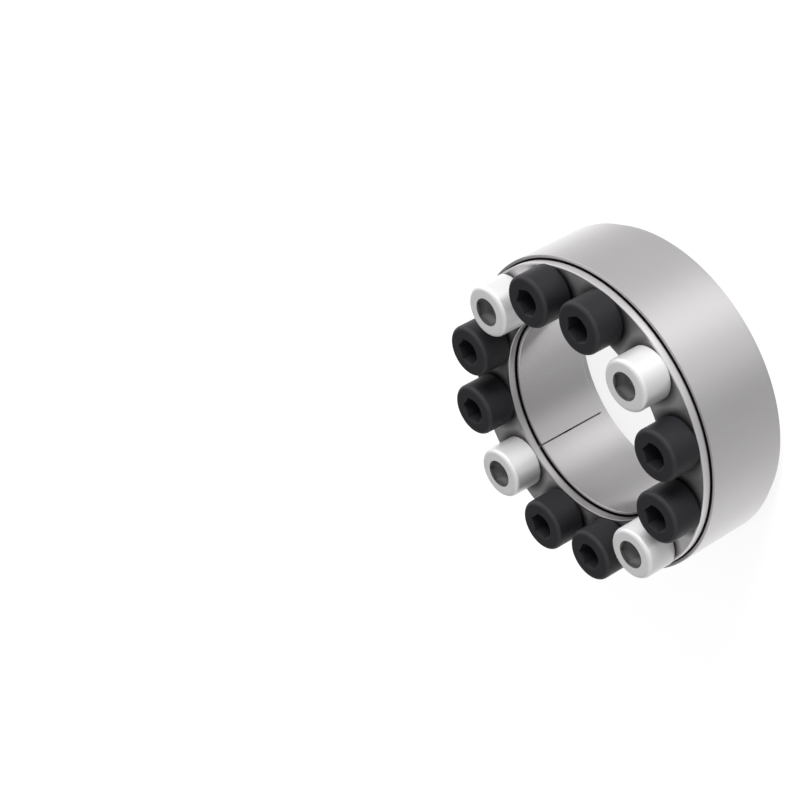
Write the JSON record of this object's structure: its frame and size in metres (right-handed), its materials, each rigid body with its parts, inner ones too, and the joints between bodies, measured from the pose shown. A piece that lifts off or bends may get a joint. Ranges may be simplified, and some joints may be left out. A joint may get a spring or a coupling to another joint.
{
  "type": "keyless locking assembly",
  "caption": "Keyless shaft-hub locking assembly: slit inner and outer rings wedged apart by two tapered thrust rings and a circle of socket head screws.",
  "frame": {"origin": "on the axis, in the rear thrust ring's rear face, which the part rests on", "axes": "+Z along the axis towards the screw heads, +X through the first silver screw"},
  "size_m": [0.08, 0.08, 0.0325],
  "materials": {
    "ring_steel": "fine turned and ground steel, satin",
    "zinc_plate": "bright zinc plating, slightly milky",
    "black_oxide": "black oxide on forged steel, lightly oiled"
  },
  "bodies": {
    "base_rings": {"rear_thrust_ring": "ring_steel", "outer_ring": "ring_steel", "inner_ring": "ring_steel"},
    "front_ring": {"front_thrust_ring": "ring_steel"},
    "silver_screw_1_body": {"silver_screw_1": "zinc_plate"},
    "black_screw_1_body": {"black_screw_1": "black_oxide"},
    "black_screw_2_body": {"black_screw_2": "black_oxide"},
    "silver_screw_2_body": {"silver_screw_2": "zinc_plate"},
    "black_screw_3_body": {"black_screw_3": "black_oxide"},
    "black_screw_4_body": {"black_screw_4": "black_oxide"},
    "silver_screw_3_body": {"silver_screw_3": "zinc_plate"},
    "black_screw_5_body": {"black_screw_5": "black_oxide"},
    "black_screw_6_body": {"black_screw_6": "black_oxide"},
    "silver_screw_4_body": {"silver_screw_4": "zinc_plate"},
    "black_screw_7_body": {"black_screw_7": "black_oxide"},
    "black_screw_8_body": {"black_screw_8": "black_oxide"}
  },
  "joints": [
    {"name": "front_ring_lift", "type": "slide", "parent": "base_rings", "child": "front_ring", "axis": [0, 0, 1], "range_m": [0, 0.00725]},
    {"name": "silver_screw_1_turn", "type": "hinge", "parent": "front_ring", "child": "silver_screw_1_body", "pos_m": [0.0325, 0, 0.0245], "axis": [0, 0, 1], "range_deg": [0, 2088]},
    {"name": "black_screw_1_turn", "type": "hinge", "parent": "front_ring", "child": "black_screw_1_body", "pos_m": [0.02815, 0.01625, 0.0245], "axis": [0, 0, 1], "range_deg": [0, 2088]},
    {"name": "black_screw_2_turn", "type": "hinge", "parent": "front_ring", "child": "black_screw_2_body", "pos_m": [0.01625, 0.02815, 0.0245], "axis": [0, 0, 1], "range_deg": [0, 2088]},
    {"name": "silver_screw_2_turn", "type": "hinge", "parent": "front_ring", "child": "silver_screw_2_body", "pos_m": [0, 0.0325, 0.0245], "axis": [0, 0, 1], "range_deg": [0, 2088]},
    {"name": "black_screw_3_turn", "type": "hinge", "parent": "front_ring", "child": "black_screw_3_body", "pos_m": [-0.01625, 0.02815, 0.0245], "axis": [0, 0, 1], "range_deg": [0, 2088]},
    {"name": "black_screw_4_turn", "type": "hinge", "parent": "front_ring", "child": "black_screw_4_body", "pos_m": [-0.02815, 0.01625, 0.0245], "axis": [0, 0, 1], "range_deg": [0, 2088]},
    {"name": "silver_screw_3_turn", "type": "hinge", "parent": "front_ring", "child": "silver_screw_3_body", "pos_m": [-0.0325, 0, 0.0245], "axis": [0, 0, 1], "range_deg": [0, 2088]},
    {"name": "black_screw_5_turn", "type": "hinge", "parent": "front_ring", "child": "black_screw_5_body", "pos_m": [-0.02815, -0.01625, 0.0245], "axis": [0, 0, 1], "range_deg": [0, 2088]},
    {"name": "black_screw_6_turn", "type": "hinge", "parent": "front_ring", "child": "black_screw_6_body", "pos_m": [-0.01625, -0.02815, 0.0245], "axis": [0, 0, 1], "range_deg": [0, 2088]},
    {"name": "silver_screw_4_turn", "type": "hinge", "parent": "front_ring", "child": "silver_screw_4_body", "pos_m": [0, -0.0325, 0.0245], "axis": [0, 0, 1], "range_deg": [0, 2088]},
    {"name": "black_screw_7_turn", "type": "hinge", "parent": "front_ring", "child": "black_screw_7_body", "pos_m": [0.01625, -0.02815, 0.0245], "axis": [0, 0, 1], "range_deg": [0, 2088]},
    {"name": "black_screw_8_turn", "type": "hinge", "parent": "front_ring", "child": "black_screw_8_body", "pos_m": [0.02815, -0.01625, 0.0245], "axis": [0, 0, 1], "range_deg": [0, 2088]}
  ],
  "couplings": [
    {"joint": "silver_screw_1_turn", "follows": "front_ring_lift", "rad_per_m": 5026.5},
    {"joint": "black_screw_1_turn", "follows": "front_ring_lift", "rad_per_m": 5026.5},
    {"joint": "black_screw_2_turn", "follows": "front_ring_lift", "rad_per_m": 5026.5},
    {"joint": "silver_screw_2_turn", "follows": "front_ring_lift", "rad_per_m": 5026.5},
    {"joint": "black_screw_3_turn", "follows": "front_ring_lift", "rad_per_m": 5026.5},
    {"joint": "black_screw_4_turn", "follows": "front_ring_lift", "rad_per_m": 5026.5},
    {"joint": "silver_screw_3_turn", "follows": "front_ring_lift", "rad_per_m": 5026.5},
    {"joint": "black_screw_5_turn", "follows": "front_ring_lift", "rad_per_m": 5026.5},
    {"joint": "black_screw_6_turn", "follows": "front_ring_lift", "rad_per_m": 5026.5},
    {"joint": "silver_screw_4_turn", "follows": "front_ring_lift", "rad_per_m": 5026.5},
    {"joint": "black_screw_7_turn", "follows": "front_ring_lift", "rad_per_m": 5026.5},
    {"joint": "black_screw_8_turn", "follows": "front_ring_lift", "rad_per_m": 5026.5}
  ]
}
